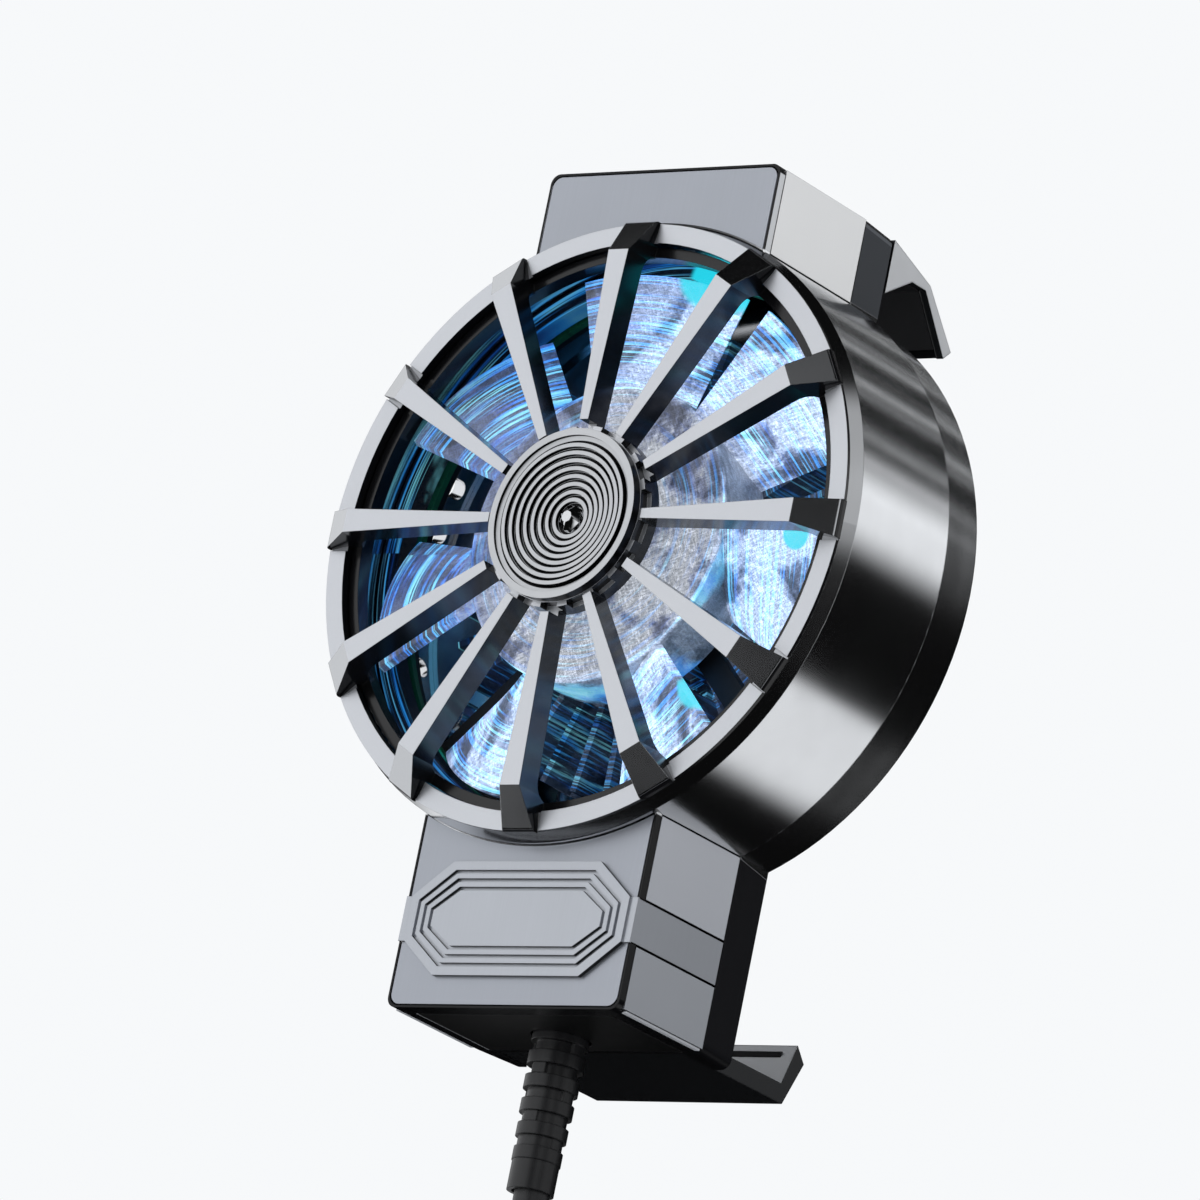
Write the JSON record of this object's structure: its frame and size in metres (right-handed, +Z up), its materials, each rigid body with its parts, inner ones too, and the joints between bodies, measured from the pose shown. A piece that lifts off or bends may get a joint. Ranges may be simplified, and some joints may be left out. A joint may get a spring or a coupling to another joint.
{
  "type": "phone cooling fan",
  "caption": "Clip-on phone cooler: a round lit fan drum with a spoked grille, a spring jaw above, a fixed jaw below and a coiled USB cord.",
  "frame": {"origin": "centre of the contact pad's face, where the phone's back touches", "axes": "+Y out of the contact pad towards the phone, +Z up towards the spring jaw, -Y out of the fan's grille"},
  "size_m": [0.0536, 0.0331, 0.1437],
  "materials": {
    "silver_plastic": "satin",
    "plate_silver": "satin",
    "stud_chrome": "polished",
    "black_gloss": "gloss",
    "rear_grey": "satin",
    "black_matte": "matte",
    "aluminium": "satin",
    "black_rubber": "matte",
    "ceramic": "matte",
    "steel": "satin",
    "circuit_board": "satin",
    "bronze": "satin",
    "rotor_silver": "brushed",
    "magnet": "matte",
    "copper": "gloss",
    "lamp": "lit",
    "clear_guide": "clear",
    "jaw_grey": "satin",
    "cord_rubber": "satin",
    "plug_steel": "polished"
  },
  "bodies": {
    "housing": {"bearing_bush": "bronze", "bezel_ring": "silver_plastic", "board_components": "black_matte", "bottom_cover": "black_matte", "clamp_screws": "steel", "cold_module": "ceramic", "cold_plate": "aluminium", "contact_pad": "black_rubber", "control_board": "circuit_board", "cord": "cord_rubber", "cord_boot": "black_rubber", "cord_coil": "cord_rubber", "cord_tail": "cord_rubber", "cord_tie": "black_rubber", "front_housing": "black_gloss", "heat_sink": "aluminium", "housing_screws": "steel", "hub_dish": "silver_plastic", "hub_stud": "stud_chrome", "jaw_springs": "steel", "lamp_ring": "circuit_board", "lamps": "lamp", "light_guide": "clear_guide", "lower_face_plate": "plate_silver", "lower_jaw": "jaw_grey", "lower_jaw_strip": "black_rubber", "lower_side_panels": "plate_silver", "motor_board": "circuit_board", "motor_mount": "black_matte", "plaque_belt": "plate_silver", "plug_contacts": "black_matte", "plug_grip": "black_matte", "plug_shell": "plug_steel", "rear_housing": "rear_grey", "spoke_grille": "silver_plastic", "stator_core": "steel", "stator_windings": "copper", "top_face_plate": "plate_silver", "top_side_panels": "plate_silver"},
    "rotor": {"fan_rotor": "rotor_silver", "magnet_ring": "magnet", "rotor_shaft": "steel"},
    "jaw": {"upper_jaw": "jaw_grey", "upper_jaw_pad": "black_rubber"}
  },
  "joints": [
    {"name": "rotor_spin", "type": "hinge", "parent": "housing", "child": "rotor", "pos_m": [0, -0.0145, 0], "axis": [0, -1, 0], "continuous": true},
    {"name": "jaw_slide", "type": "slide", "parent": "housing", "child": "jaw", "axis": [0, 0, 1], "range_m": [0, 0.02], "stiffness_N_per_m": 300, "springref_m": -0.012, "deforming": ["jaw_springs"]}
  ]
}
